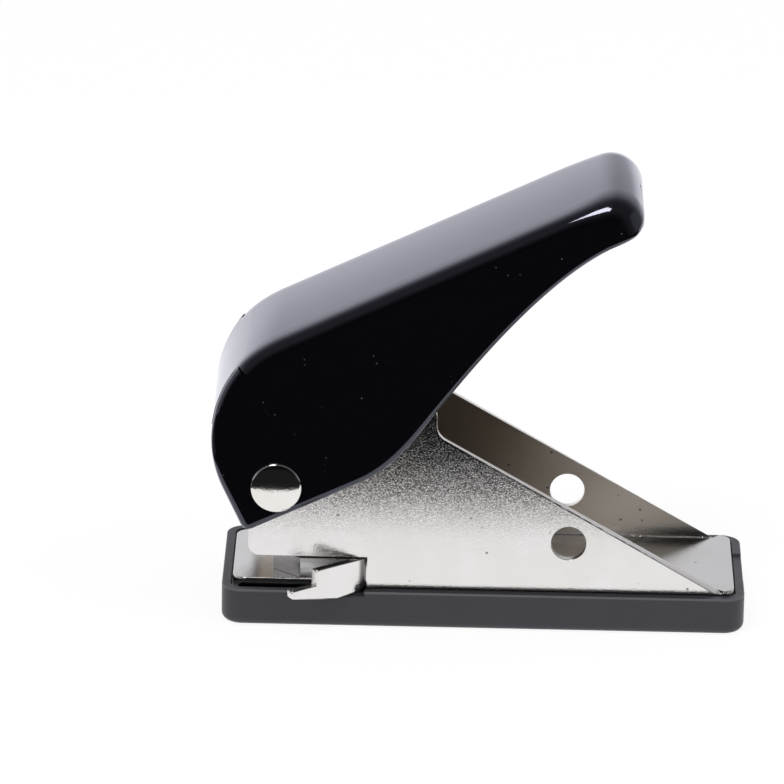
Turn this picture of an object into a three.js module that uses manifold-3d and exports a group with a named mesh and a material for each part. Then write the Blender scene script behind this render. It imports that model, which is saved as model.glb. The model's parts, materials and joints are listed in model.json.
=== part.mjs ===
// Dart flight punch: a squeeze handle of coated sheet steel on a plated steel channel,
// with a spring-returned punch inside and a moulded chip tray below.
// Millimetres. +X runs from the throat at the front to the rear end, +Z is up, and the
// origin is the middle of the tray's underside, where the punch stands on a table.
import * as THREE from 'three';
import { mergeVertices } from 'three/addons/utils/BufferGeometryUtils.js';
import Module from 'manifold-3d';

const wasm = await Module();
wasm.setup();

// Chip tray
const trayLength = 74.6;
const trayWidth = 26.2;
const trayHeight = 5.5;
const trayRim = 1.3;
const trayLedge = 1.2;
const trayFloor = 0.8;
const trayCorner = 3;
const trayEdge = 1.2;
const seatDepth = 0.6;
const rimGap = 0.2;
const rearNotchWidth = 10.6;
const rearNotchDepth = 0.35;

// Steel channel, with its heights taken from the underside of its floor
const sheet = 1.2;
const channelWidth = 23;
const channelBend = 1.4;
const channelCorner = 2;
const wallFrontInset = 2.25;
const lipRise = 5.25;
const lipCorner = 1.6;
const throatDepth = 17;
const towerRear = 26.55;
const towerFront = 15.6;
const towerRise = 28.5;
const towerCorner = 2;
const towerFootRise = 23.8;
const footFillet = 2.5;
const pivotLobe = 3;
const lobeCorner = 3;
const rearFlat = 2.55;
const sideHole = 5;
const sideHoleFromRear = 23.8;
const sideHoleRise = 8.05;

// Flared guide wings, lanced from the lower edge of each wall, with heights as above
const wingAngle = 38;
const wingBend = 0.8;
const wingReach = 8.9;
const wingNose = 13.2;
const wingTopGap = 0.15;
const wingStepRise = 2.8;
const noseTopRise = 2.8;
const noseUnderRise = 1.7;
const wingUnderRise = 0.1;
const wingRootRise = 0.5;
const wingHeel = 5.3;
const wingUnderGap = 0.25;
const rimNotchRun = 4.4;
const wingRelief = 1.7;
const noseRound = 0.3;

// Pivot
const pivotFromWallFront = 3.9;
const pivotRise = 16.05;
const rivetShank = 4.2;
const rivetHead = 7.25;
const rivetSetHead = 6.4;
const rivetRim = 0.45;
const rivetDome = 0.4;
const boreClearance = 0.1;
const sleeveWall = 0.7;
const washerThickness = 0.5;
const washerWidth = 7.2;
const sideClearance = 0.1;

// Handle, drawn with its web level and turned up by the rest angle
const handleAngle = 25.55;
const handleSheet = 1.1;
const handleBend = 2.2;
const webHeight = 20;
const frontReach = 7.1;
const frontRadius = 17.2;
const tipReach = 63.8;
const tipRadius = 4.6;
const tipLipRadius = 2.3;
const tipDepth = 7.35;
const cheekDepth = 4.5;
const cheekCorner = 0.8;
const cheekHeel = 15.7;
const heelRun = 4.6;
const heelRise = 3.35;
const tailRun = 6.4;
const tipCorner = 4.2;
const mouthGap = 0.4;
const reliefAngle = 116;
const reliefOpening = 1.3;
const tongueAngle = 139;

// Punch and guide
const punchFromPivot = 6.1;
const punchDiameter = 3.6;
const punchCrown = 0.6;
const strikeRise = 4.2;
const strikePin = 4;
const strikeGap = 0.1;
const guideSheet = 1.2;
const guideLift = 0.3;
const guideRear = 5.4;
const keeperSheet = 1;
const keeperHeight = 9.25;
const keeperInside = 8.8;
const keeperDepth = 6;

// Clip, washers and return spring on the punch
const clipThickness = 0.6;
const clipWidth = 5.4;
const clipGroove = 0.45;
const clipGap = 0.3;
const springWasher = 0.6;
const springWasherWidth = 6.6;
const seatWasher = 0.4;
const springWidth = 6.2;
const springWire = 0.5;
const springTurns = 4.5;

// Die
const throatGap = 1.3;
const dieFront = 6.6;
const dieRear = 5.8;
const dieWidth = 19;
const dieNose = 12;
const dieNoseRun = 4;
const chipHole = 5;
const dieRivet = 2.4;
const dieRivetHead = 4;
const dieRivetHeadHeight = 0.6;
const dieRivetFromPunch = 6.4;

// Bracket that carries the strike pin inside the handle
const armSheet = 1.2;
const armLobe = 4;
const strikeLobe = 3.2;
const flangeLength = 8;
const bracketGap = 0.3;

// One overrun for every cut, and the counts of steps in round forms
const overrun = 1;
const roundSteps = 32;
const bendSteps = 5;
const arcSteps = 10;
const frontSteps = 16;
const domeSteps = 3;
const springSteps = 8;
const springSides = 5;
const gapSamples = 400;

// Control points of the cheek's tail curve, as shares of its run and of its fall
const tailControlShares = [[0.29, 0.05], [0.665, 0.53]];

// Stations along X
const channelRear = trayLength / 2 - trayRim - rimGap;
const channelFront = -channelRear;
const wallFront = channelFront + wallFrontInset;
const throatEnd = wallFront + throatDepth;
const pivotX = wallFront + pivotFromWallFront;
const punchX = pivotX + punchFromPivot;
const towerRearX = wallFront + towerRear;
const towerFrontX = wallFront + towerFront;
const slopeEnd = channelRear - rearFlat;

// Distances from the middle plane
const wallOuter = channelWidth / 2;
const wallInner = wallOuter - sheet;
const handleInner = wallOuter + sideClearance;
const handleOuter = handleInner + handleSheet;
const washerOuter = wallInner - sideClearance;
const washerInner = washerOuter - washerThickness;
const armOuter = washerInner - sideClearance;
const armInner = armOuter - armSheet;
const sleeveEnd = armInner - sideClearance;

// Levels
const seatLevel = trayHeight - seatDepth;
const floorLevel = seatLevel + sheet;
const lipLevel = seatLevel + lipRise;
const pivotLevel = seatLevel + pivotRise;
const guideUnder = lipLevel + guideLift;
const guideTop = guideUnder + guideSheet;
const dieTop = guideUnder - throatGap;
const keeperTop = guideUnder + keeperHeight;
const keeperUnder = keeperTop - keeperSheet;
const clipTop = keeperUnder - clipGap;
const clipUnder = clipTop - clipThickness;
const springTop = clipUnder - springWasher;
const springFoot = guideTop + seatWasher;
const punchFoot = guideUnder + strikeGap;
const punchTop = pivotLevel + strikeRise - strikePin / 2 - strikeGap;

// Running bores, and the turn of the handle at rest
const pivotBore = rivetShank + boreClearance * 2;
const punchBore = punchDiameter + boreClearance * 2;
const strikeBore = strikePin + boreClearance * 2;
const dieRivetBore = dieRivet + boreClearance * 2;
const dieRivetPlaces = [[punchX, -dieRivetFromPunch], [punchX, dieRivetFromPunch]];
const restTurn = THREE.MathUtils.degToRad(handleAngle);
const wingTurn = THREE.MathUtils.degToRad(wingAngle);
const quarter = Math.PI / 2;
const fullTurn = Math.PI * 2;

// Solids and their joins

function solid(geometry) {
  const bare = geometry.index ? geometry.toNonIndexed() : geometry.clone();
  bare.deleteAttribute('normal');
  bare.deleteAttribute('uv');
  const merged = mergeVertices(bare);
  return new wasm.Manifold(new wasm.Mesh({
    numProp: 3,
    vertProperties: new Float32Array(merged.attributes.position.array),
    triVerts: new Uint32Array(merged.index.array),
  }));
}

function geometryOf(body) {
  const mesh = body.getMesh();
  const geometry = new THREE.BufferGeometry();
  const positions = new Float32Array(mesh.vertProperties);
  geometry.setAttribute('position', new THREE.BufferAttribute(positions, 3));
  geometry.setIndex(new THREE.BufferAttribute(new Uint32Array(mesh.triVerts), 1));
  geometry.computeVertexNormals();
  return geometry;
}

function join(first, ...others) {
  return others.reduce((whole, piece) => whole.add(piece), first);
}

function cut(first, ...others) {
  return others.reduce((whole, piece) => whole.subtract(piece), first);
}

// The same solid on the other side of the middle plane
function mirrored(body) {
  const geometry = geometryOf(body);
  geometry.scale(1, -1, 1);
  const index = geometry.index;
  for (let i = 0; i < index.count; i += 3) {
    const first = index.getX(i);
    index.setX(i, index.getX(i + 1));
    index.setX(i + 1, first);
  }
  return solid(geometry);
}

// Plates, bars and rods

function extrude(shape, depth, bevel = 0) {
  const geometry = new THREE.ExtrudeGeometry(shape, {
    depth: depth - bevel * 2,
    bevelEnabled: bevel > 0,
    bevelThickness: bevel,
    bevelSize: bevel,
    bevelOffset: -bevel,
    bevelSegments: bendSteps,
    curveSegments: arcSteps,
  });
  geometry.translate(0, 0, bevel);
  return geometry;
}

// A plate whose outline is drawn in X and Z and that runs across the punch in Y
function acrossPlate(shape, from, to, bevel) {
  const geometry = extrude(shape, to - from, bevel);
  geometry.rotateX(quarter);
  geometry.translate(0, to, 0);
  return geometry;
}

// A plate whose outline is drawn in X and Y and that stands from one level to another
function levelPlate(shape, from, to, bevel) {
  const geometry = extrude(shape, to - from, bevel);
  geometry.translate(0, 0, from);
  return geometry;
}

// A bar whose section is drawn in Y and Z and that runs along X
function longPlate(shape, from, to) {
  const geometry = extrude(shape, to - from);
  geometry.rotateX(quarter);
  geometry.rotateZ(quarter);
  geometry.translate(from, 0, 0);
  return geometry;
}

function block([x0, x1], [y0, y1], [z0, z1]) {
  const geometry = new THREE.BoxGeometry(x1 - x0, y1 - y0, z1 - z0);
  geometry.translate((x0 + x1) / 2, (y0 + y1) / 2, (z0 + z1) / 2);
  return solid(geometry);
}

function rod(from, to, diameter) {
  return new THREE.CylinderGeometry(diameter / 2, diameter / 2, to - from, roundSteps);
}

function uprightRod([x, y], from, to, diameter) {
  const geometry = rod(from, to, diameter);
  geometry.rotateX(quarter);
  geometry.translate(x, y, (from + to) / 2);
  return solid(geometry);
}

function crossRod([x, z], from, to, diameter) {
  const geometry = rod(from, to, diameter);
  geometry.translate(x, (from + to) / 2, z);
  return solid(geometry);
}

// A bore along Y that passes through everything
function crossBore(place, diameter) {
  return crossRod(place, -handleOuter - overrun, handleOuter + overrun, diameter);
}

// Turned pieces: the profile gives radius and height
function turned(profile) {
  const points = profile.map(([radius, height]) => new THREE.Vector2(radius, height));
  return new THREE.LatheGeometry(points, roundSteps);
}

// Profile of a shallow dome from its rim to its top
function dome(radius, base, rise) {
  return Array.from({ length: domeSteps + 1 }, (_, step) => {
    const angle = (step / domeSteps) * quarter;
    return [step < domeSteps ? radius * Math.cos(angle) : 0, base + rise * Math.sin(angle)];
  });
}

// Outlines

function outline(points) {
  return new THREE.Shape(points.map(([x, y]) => new THREE.Vector2(x, y)));
}

// An outline of straight runs, where each corner carries the radius that rounds it
function roundedOutline(corners) {
  const shape = new THREE.Shape();
  corners.forEach(([x, y, radius], index) => {
    const here = new THREE.Vector2(x, y);
    const before = corners[(index + corners.length - 1) % corners.length];
    const after = corners[(index + 1) % corners.length];
    const back = new THREE.Vector2(before[0], before[1]).sub(here).normalize();
    const ahead = new THREE.Vector2(after[0], after[1]).sub(here).normalize();
    const opening = Math.acos(THREE.MathUtils.clamp(back.dot(ahead), -1, 1));
    const run = radius / Math.tan(opening / 2);
    const reach = radius / Math.sin(opening / 2);
    const centre = back.clone().add(ahead).normalize().multiplyScalar(reach).add(here);
    const start = back.clone().multiplyScalar(run).add(here);
    const end = ahead.clone().multiplyScalar(run).add(here);
    const first = start.clone().sub(centre).angle();
    const last = end.clone().sub(centre).angle();
    const move = index ? 'lineTo' : 'moveTo';
    shape[move](start.x, start.y);
    if (radius) {
      shape.absarc(centre.x, centre.y, radius, first, last, back.cross(ahead) > 0);
    }
  });
  return shape;
}

function roundedRectangle(halfLength, halfWidth, radius) {
  return roundedOutline([
    [-halfLength, -halfWidth, radius],
    [halfLength, -halfWidth, radius],
    [halfLength, halfWidth, radius],
    [-halfLength, halfWidth, radius],
  ]);
}

// Materials

const nickel = { color: 0xc9c5c0, roughness: 0.32, metalness: 1 };
const brightNickel = { color: 0xd8d5d0, roughness: 0.12, metalness: 1 };
const blackCoat = { color: 0x08080a, roughness: 0.15, metalness: 0 };
const darkPlastic = { color: 0x2a2a30, roughness: 0.5, metalness: 0 };
const toolSteel = { color: 0x8b8a88, roughness: 0.35, metalness: 1 };
const springSteel = { color: 0x9a9894, roughness: 0.3, metalness: 1 };

// Chip tray: a shallow box that holds the channel's floor in a seat inside its rim

function trayPlan(inset) {
  const corner = Math.max(trayCorner - inset, trayRim / 2);
  return roundedRectangle(trayLength / 2 - inset, trayWidth / 2 - inset, corner);
}

// Space in the tray's rim for the root of a wing, which hangs a little below it
function wingNotch(side) {
  const rear = throatEnd - wingBend / 2;
  const front = throatEnd - rimNotchRun;
  const edges = [wallInner + sheet / 2, trayWidth / 2 + overrun].map((y) => side * y);
  edges.sort((a, b) => a - b);
  return block([front, rear], edges, [seatLevel + wingUnderRise - wingUnderGap, trayHeight + overrun]);
}

function makeTray() {
  const above = trayHeight + overrun;
  const blank = solid(levelPlate(trayPlan(0), 0, above + trayEdge, trayEdge));
  const top = block([-trayLength, trayLength], [-trayWidth, trayWidth], [trayHeight, above + trayEdge * 2]);
  const seat = solid(levelPlate(trayPlan(trayRim), seatLevel, above));
  const hollow = solid(levelPlate(trayPlan(trayRim + trayLedge), trayFloor, above));
  const rearNotch = block([channelRear, trayLength / 2 + overrun],
    [-rearNotchWidth / 2, rearNotchWidth / 2], [trayHeight - rearNotchDepth, above]);
  return cut(blank, top, seat, hollow, rearNotch, wingNotch(-1), wingNotch(1));
}

// Channel: one folded sheet with floor, two walls and a flared guide wing on each wall

function channelSection() {
  const rise = seatLevel + towerRise + overrun;
  const inner = channelBend - sheet;
  return roundedOutline([
    [-wallOuter, seatLevel, channelBend],
    [wallOuter, seatLevel, channelBend],
    [wallOuter, rise, 0],
    [wallInner, rise, 0],
    [wallInner, floorLevel, inner],
    [-wallInner, floorLevel, inner],
    [-wallInner, rise, 0],
    [-wallOuter, rise, 0],
  ]);
}

function wallOutline() {
  const under = seatLevel - overrun;
  const behind = channelRear + overrun;
  return roundedOutline([
    [throatEnd, under, 0],
    [behind, under, 0],
    [behind, floorLevel, 0],
    [slopeEnd, floorLevel, 0],
    [towerRearX, seatLevel + towerFootRise, footFillet],
    [towerRearX, seatLevel + towerRise, towerCorner],
    [towerFrontX, seatLevel + towerRise, towerCorner],
    [wallFront, pivotLevel + pivotLobe, lobeCorner],
    [wallFront, lipLevel, lipCorner],
    [throatEnd, lipLevel, 0],
  ]);
}

// The floor runs on under the throat, a little narrower than between the walls
function frontFloor() {
  const edge = wallOuter - wingRelief;
  return roundedOutline([
    [channelFront, -edge, channelCorner],
    [throatEnd + overrun, -edge, 0],
    [throatEnd + overrun, edge, 0],
    [channelFront, edge, channelCorner],
  ]);
}

// Plan of a wing on the side of +Y: it leaves the wall, bends outward and runs on straight
function wingPlan() {
  const centre = new THREE.Vector2(throatEnd, wallOuter + wingBend);
  const across = new THREE.Vector2(-Math.sin(wingTurn), -Math.cos(wingTurn));
  const run = new THREE.Vector2(-Math.cos(wingTurn), Math.sin(wingTurn)).multiplyScalar(wingNose);
  const outer = across.clone().multiplyScalar(wingBend).add(centre);
  const inner = across.clone().multiplyScalar(wingBend + sheet).add(centre);
  const last = -quarter - wingTurn;
  const shape = new THREE.Shape();
  shape.moveTo(throatEnd + overrun, wallInner);
  shape.lineTo(throatEnd, wallInner);
  shape.absarc(centre.x, centre.y, wingBend + sheet, -quarter, last, true);
  shape.lineTo(inner.x + run.x, inner.y + run.y);
  shape.lineTo(outer.x + run.x, outer.y + run.y);
  shape.lineTo(outer.x, outer.y);
  shape.absarc(centre.x, centre.y, wingBend, last, -quarter, false);
  shape.lineTo(throatEnd + overrun, wallOuter);
  return shape;
}

// Side view of a wing along its own run, with the stepped lead-in nose at its free end
function wingFace() {
  const top = lipLevel - wingTopGap;
  return roundedOutline([
    [overrun, seatLevel + wingRootRise, 0],
    [overrun, top, 0],
    [-wingReach, top, noseRound],
    [-wingReach, seatLevel + wingStepRise, 0],
    [-wingNose, seatLevel + noseTopRise, noseRound],
    [-wingNose, seatLevel + noseUnderRise, noseRound],
    [-wingHeel, seatLevel + wingUnderRise, noseRound],
    [-wingBend / 2, seatLevel + wingRootRise, 0],
  ]);
}

function makeWing() {
  const plan = solid(levelPlate(wingPlan(), seatLevel - overrun, lipLevel));
  const face = acrossPlate(wingFace(), -wingNose, wingNose);
  face.rotateZ(-wingTurn);
  face.translate(throatEnd, wallOuter, 0);
  const root = block([throatEnd - wingBend / 2, throatEnd + overrun], [0, wallOuter + sheet],
    [seatLevel + wingRootRise, lipLevel - wingTopGap]);
  return plan.intersect(join(solid(face), root));
}

// Plan of the channel with its rounded rear corners
function channelPlan() {
  return roundedOutline([
    [channelFront, -wallOuter, 0],
    [channelRear, -wallOuter, channelCorner],
    [channelRear, wallOuter, channelCorner],
    [channelFront, wallOuter, 0],
  ]);
}

function makeChannel() {
  const folded = solid(longPlate(channelSection(), channelFront, channelRear));
  const walls = folded.intersect(solid(acrossPlate(wallOutline(), -channelWidth, channelWidth)));
  const plan = solid(levelPlate(channelPlan(), 0, seatLevel + towerRise + overrun));
  const floor = solid(levelPlate(frontFloor(), seatLevel, floorLevel));
  const wing = makeWing();
  const body = join(walls.intersect(plan), floor, wing, mirrored(wing));
  const under = seatLevel - overrun;
  const over = floorLevel + overrun;
  const chipOutlet = uprightRod([punchX, 0], under, over, chipHole);
  const rivetHoles = dieRivetPlaces.map((place) => uprightRod(place, under, over, dieRivetBore));
  const sideHoles = crossBore([channelRear - sideHoleFromRear, seatLevel + sideHoleRise], sideHole);
  return cut(body, sideHoles, crossBore([pivotX, pivotLevel], pivotBore), chipOutlet, ...rivetHoles);
}

// Die: a raised steel anvil on the floor, with the die hole under the punch

function makeDie() {
  const nose = punchX - dieFront;
  const plan = outline([
    [nose, -dieNose / 2],
    [nose + dieNoseRun, -dieWidth / 2],
    [punchX + dieRear, -dieWidth / 2],
    [punchX + dieRear, dieWidth / 2],
    [nose + dieNoseRun, dieWidth / 2],
    [nose, dieNose / 2],
  ]);
  const under = floorLevel - overrun;
  const over = dieTop + overrun;
  const plate = solid(levelPlate(plan, floorLevel, dieTop));
  const dieHole = uprightRod([punchX, 0], under, over, punchBore);
  const chipRelief = uprightRod([punchX, 0], under, (floorLevel + dieTop) / 2, chipHole);
  const rivetHoles = dieRivetPlaces.map((place) => uprightRod(place, under, over, dieRivetBore));
  return cut(plate, dieHole, chipRelief, ...rivetHoles);
}

function makeDieRivet([x, y]) {
  const geometry = turned([
    [0, dieTop - boreClearance],
    [dieRivet / 2, dieTop - boreClearance],
    [dieRivet / 2, seatLevel],
    [dieRivetHead / 2, seatLevel],
    ...dome(dieRivetHead / 2, seatLevel - dieRivetHeadHeight / 2, -dieRivetHeadHeight / 2),
  ].reverse());
  geometry.rotateX(quarter);
  geometry.translate(x, y, 0);
  return solid(geometry);
}

// Punch guide: a plate welded between the walls above the throat, and a keeper frame on it

function makeGuidePlate() {
  const plate = block([wallFront + sheet, punchX + guideRear], [-wallInner, wallInner],
    [guideUnder, guideTop]);
  return cut(plate, uprightRod([punchX, 0], guideUnder - overrun, guideTop + overrun, punchBore));
}

function makeKeeper() {
  const inside = keeperInside / 2;
  const outside = inside + keeperSheet;
  const section = outline([
    [-outside, guideTop],
    [-inside, guideTop],
    [-inside, keeperUnder],
    [inside, keeperUnder],
    [inside, guideTop],
    [outside, guideTop],
    [outside, keeperTop],
    [-outside, keeperTop],
  ]);
  const frame = solid(longPlate(section, punchX - keeperDepth / 2, punchX + keeperDepth / 2));
  return cut(frame, uprightRod([punchX, 0], keeperUnder - overrun, keeperTop + overrun, punchBore));
}

// Punch pin: domed top, a groove for the clip and a hollow-ground cutting end
function makePunch() {
  const radius = punchDiameter / 2;
  const geometry = turned([
    [0, punchFoot + punchCrown],
    [radius, punchFoot],
    [radius, clipUnder],
    [radius - clipGroove, clipUnder],
    [radius - clipGroove, clipTop],
    [radius, clipTop],
    ...dome(radius, punchTop - punchCrown, punchCrown),
  ]);
  geometry.rotateX(quarter);
  geometry.translate(punchX, 0, 0);
  return solid(geometry);
}

// An open retaining ring, snapped into the groove of the punch pin
function makeClip() {
  const inner = punchDiameter / 2 - clipGroove + boreClearance;
  const span = [clipUnder - overrun, clipTop + overrun];
  const ring = uprightRod([punchX, 0], clipUnder, clipTop, clipWidth);
  const bore = uprightRod([punchX, 0], ...span, inner * 2);
  return cut(ring, bore, block([punchX, punchX + clipWidth], [-inner, inner], span));
}

function makeSpringRing(from, to) {
  const ring = uprightRod([punchX, 0], from, to, springWasherWidth);
  return cut(ring, uprightRod([punchX, 0], from - overrun, to + overrun, punchBore));
}

// Return spring: one unbroken round wire, wound from its seat washer to the washer under the clip

function springPoint(share) {
  const radius = (springWidth - springWire) / 2;
  const turn = share * springTurns * fullTurn;
  const low = springFoot + springWire / 2 + boreClearance;
  const high = springTop - springWire / 2 - boreClearance;
  const level = THREE.MathUtils.lerp(low, high, share);
  return new THREE.Vector3(punchX + radius * Math.cos(turn), radius * Math.sin(turn), level);
}

// One ring of points round the wire
function springRing(share) {
  const turn = share * springTurns * fullTurn;
  const outward = new THREE.Vector3(Math.cos(turn), Math.sin(turn), 0);
  const upward = new THREE.Vector3(0, 0, 1);
  return Array.from({ length: springSides }, (_, side) => {
    const around = (side / springSides) * fullTurn;
    return springPoint(share)
      .addScaledVector(outward, Math.cos(around) * springWire / 2)
      .addScaledVector(upward, Math.sin(around) * springWire / 2);
  });
}

function makeSpring() {
  const steps = Math.round(springTurns * springSteps);
  const rings = Array.from({ length: steps + 1 }, (_, step) => springRing(step / steps));
  const indices = [];
  for (let step = 0; step < steps; step += 1) {
    for (let side = 0; side < springSides; side += 1) {
      const a = step * springSides + side;
      const b = step * springSides + (side + 1) % springSides;
      indices.push(a, a + springSides, b, b, a + springSides, b + springSides);
    }
  }
  const last = steps * springSides;
  for (let side = 1; side < springSides - 1; side += 1) {
    indices.push(0, side, side + 1);
    indices.push(last, last + side + 1, last + side);
  }
  const geometry = new THREE.BufferGeometry().setFromPoints(rings.flat());
  geometry.setIndex(indices);
  return geometry;
}

// Least gap between one curl of the spring and the next, measured on points of its middle line
function springGap() {
  const points = Array.from({ length: gapSamples + 1 }, (_, i) => springPoint(i / gapSamples));
  const halfTurn = Math.ceil(gapSamples / springTurns / 2);
  let least = Infinity;
  points.forEach((point, i) => {
    for (let j = i + halfTurn; j < points.length; j += 1) {
      least = Math.min(least, point.distanceTo(points[j]));
    }
  });
  return least - springWire;
}

// Pivot: a solid rivet through both walls and both cheeks, and what turns on it

function makeRivet() {
  const shank = rivetShank / 2;
  const nearHead = dome(rivetHead / 2, -handleOuter - rivetRim, -rivetDome).reverse();
  const farHead = dome(rivetSetHead / 2, handleOuter + rivetRim, rivetDome);
  const geometry = turned([
    ...nearHead,
    [rivetHead / 2, -handleOuter],
    [shank, -handleOuter],
    [shank, handleOuter],
    [rivetSetHead / 2, handleOuter],
    ...farHead,
  ]);
  geometry.translate(pivotX, 0, pivotLevel);
  return solid(geometry);
}

function makeCrossRing(from, to, width) {
  const place = [pivotX, pivotLevel];
  return cut(crossRod(place, from, to, width), crossBore(place, pivotBore));
}

// Handle, in its own frame: the pivot is the origin and the web lies level

const frontCentre = [frontRadius - frontReach, webHeight - frontRadius];
const tipCentre = [tipReach - tipRadius, webHeight - tipRadius];
const lipHeight = webHeight - tipDepth;

// A place on the middle line of the drawn shell, with its outward direction and its bend radius
function station([x, z], radius, angle, bend) {
  const out = [Math.cos(angle), Math.sin(angle)];
  return { place: [x + radius * out[0], z + radius * out[1]], out, bend };
}

// Stations up the front, along the web and round the tip, where the bend to the cheeks widens
function shellStations(inset) {
  const bend = handleBend - inset;
  const endBend = tipCorner - inset;
  const low = -cheekDepth - frontRadius;
  const front = Array.from({ length: frontSteps + 1 }, (_, step) => (
    station(frontCentre, frontRadius - inset, Math.PI - (step / frontSteps) * quarter, bend)));
  const tip = Array.from({ length: arcSteps + 1 }, (_, step) => {
    const share = step / arcSteps;
    const angle = (1 - share) * quarter;
    return station(tipCentre, tipRadius - inset, angle, THREE.MathUtils.lerp(bend, endBend, share));
  });
  const foot = { place: [inset - frontReach, low], out: [-1, 0], bend };
  const end = { place: [tipReach - inset, lipHeight - tipRadius], out: [1, 0], bend: endBend };
  return [foot, ...front, ...tip, end];
}

// The section of the shell at a station, from the near cheek over the web to the far cheek
function shellRing({ place, out, bend }, width) {
  const corner = (side, angle) => {
    const depth = bend * (1 - Math.cos(angle));
    const y = side * (width - bend * (1 - Math.sin(angle)));
    return new THREE.Vector3(place[0] - out[0] * depth, y, place[1] - out[1] * depth);
  };
  const angles = Array.from({ length: bendSteps + 1 }, (_, step) => (step / bendSteps) * quarter);
  const far = angles.map((angle) => corner(1, angle));
  const near = angles.map((angle) => corner(-1, angle));
  return [...near.reverse(), ...far];
}

// The drawn blank: its sections lofted along the shell, and both sides closed down to a low spine
function drawnBody(inset) {
  const width = handleOuter - inset;
  const rings = shellStations(inset).map((place) => shellRing(place, width));
  const count = rings[0].length;
  const spineNear = rings.length * count;
  const spineFar = spineNear + 1;
  const spineX = cheekHeel + heelRun;
  const spineZ = -cheekDepth - frontRadius;
  const points = [...rings.flat(), new THREE.Vector3(spineX, -width, spineZ),
    new THREE.Vector3(spineX, width, spineZ)];
  const indices = [];
  for (let ring = 0; ring < rings.length - 1; ring += 1) {
    const here = ring * count;
    const next = here + count;
    for (let i = 0; i < count - 1; i += 1) {
      indices.push(here + i, next + i, here + i + 1, here + i + 1, next + i, next + i + 1);
    }
    indices.push(spineNear, next, here);
    indices.push(spineFar, here + count - 1, next + count - 1);
  }
  const last = (rings.length - 1) * count;
  for (let i = 0; i < count - 1; i += 1) {
    indices.push(spineNear, i, i + 1);
    indices.push(spineNear, last + i + 1, last + i);
  }
  indices.push(spineNear, count - 1, spineFar);
  indices.push(spineNear, spineFar, last + count - 1);
  const geometry = new THREE.BufferGeometry().setFromPoints(points);
  geometry.setIndex(indices);
  return solid(geometry);
}

// Outline of a cheek: the shell's own path above, moved outward by a margin, and the free edge below
function cheekOutline(margin = 0) {
  const tailStart = new THREE.Vector2(tipReach - tailRun, lipHeight);
  const tailEnd = new THREE.Vector2(cheekHeel + heelRun + heelRise / 2, -cheekDepth + heelRise);
  const [first, second] = tailControlShares.map(([along, down]) => new THREE.Vector2(
    THREE.MathUtils.lerp(tailStart.x, tailEnd.x, along),
    THREE.MathUtils.lerp(tailStart.y, tailEnd.y, down)));
  const cornerX = -frontReach + cheekCorner;
  const cornerZ = -cheekDepth + cheekCorner;
  const shape = new THREE.Shape();
  shape.moveTo(cornerX, -cheekDepth);
  shape.absarc(cornerX, cornerZ, cheekCorner, -quarter, -Math.PI, true);
  shape.absarc(...frontCentre, frontRadius + margin, Math.PI, quarter, true);
  shape.absarc(...tipCentre, tipRadius + margin, quarter, 0, true);
  shape.lineTo(tipReach + margin, lipHeight + tipLipRadius);
  shape.absarc(tipReach - tipLipRadius, lipHeight + tipLipRadius, tipLipRadius, 0, -quarter, true);
  shape.lineTo(tailStart.x, tailStart.y);
  shape.bezierCurveTo(first.x, first.y, second.x, second.y, tailEnd.x, tailEnd.y);
  shape.quadraticCurveTo(cheekHeel, -cheekDepth, cheekHeel - heelRun, -cheekDepth);
  return shape;
}

// A point on a ray from the centre of the front arc
function frontPoint(angle, radius) {
  return station(frontCentre, radius, THREE.MathUtils.degToRad(angle)).place;
}

// All that lies in front of a ray from the centre of the front arc, down to below the cheeks.
// The margin moves its rear side back, inside the flat part of the cheek.
function foreland(angle, margin = 0) {
  const root = frontPoint(angle, frontRadius - handleBend);
  const beyond = frontPoint(angle, frontRadius * 2);
  const front = Math.min(beyond[0], -frontReach) - overrun;
  const low = -cheekDepth - overrun;
  const points = [root, beyond, [front, beyond[1]], [front, low], [root[0] + margin, low]];
  return outline(margin ? [...points, [root[0] + margin, root[1] - margin]] : points);
}

function acrossHandle(shape) {
  return solid(acrossPlate(shape, -handleOuter - overrun, handleOuter + overrun));
}

// A plate on one side of the middle plane only, between two distances from it
function sidePlate(shape, side, from, to) {
  const edges = side > 0 ? [from, to] : [-to, -from];
  return solid(acrossPlate(shape, ...edges));
}

// The shell is cut open at the front: a tongue ends above the mouth, between two flat cheeks,
// and a narrow relief parts each cheek from the end of the bend
function makeHandle() {
  const shell = cut(drawnBody(0), drawnBody(handleSheet));
  const trimmed = shell.intersect(acrossHandle(cheekOutline(overrun)));
  const tongueHalf = handleInner - mouthGap;
  const outside = handleOuter + overrun;
  const beside = [-1, 1].map((side) => sidePlate(foreland(reliefAngle), side, tongueHalf, outside));
  const mouth = solid(acrossPlate(foreland(tongueAngle), -handleInner, handleInner));
  const cheekFront = acrossHandle(foreland(reliefAngle + reliefOpening, overrun));
  const flatCheeks = [-1, 1].map((side) => (
    sidePlate(cheekOutline(), side, handleInner, handleOuter).intersect(cheekFront)));
  const opened = cut(trimmed, ...beside, mouth);
  return cut(join(opened, ...flatCheeks), crossBore([0, 0], pivotBore));
}

// Strike bracket: two arms on the pivot, joined by a flange welded under the web

function strikePlace() {
  const rest = new THREE.Vector2(punchFromPivot, strikeRise);
  rest.rotateAround(new THREE.Vector2(), -restTurn);
  return [rest.x, rest.y];
}

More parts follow.
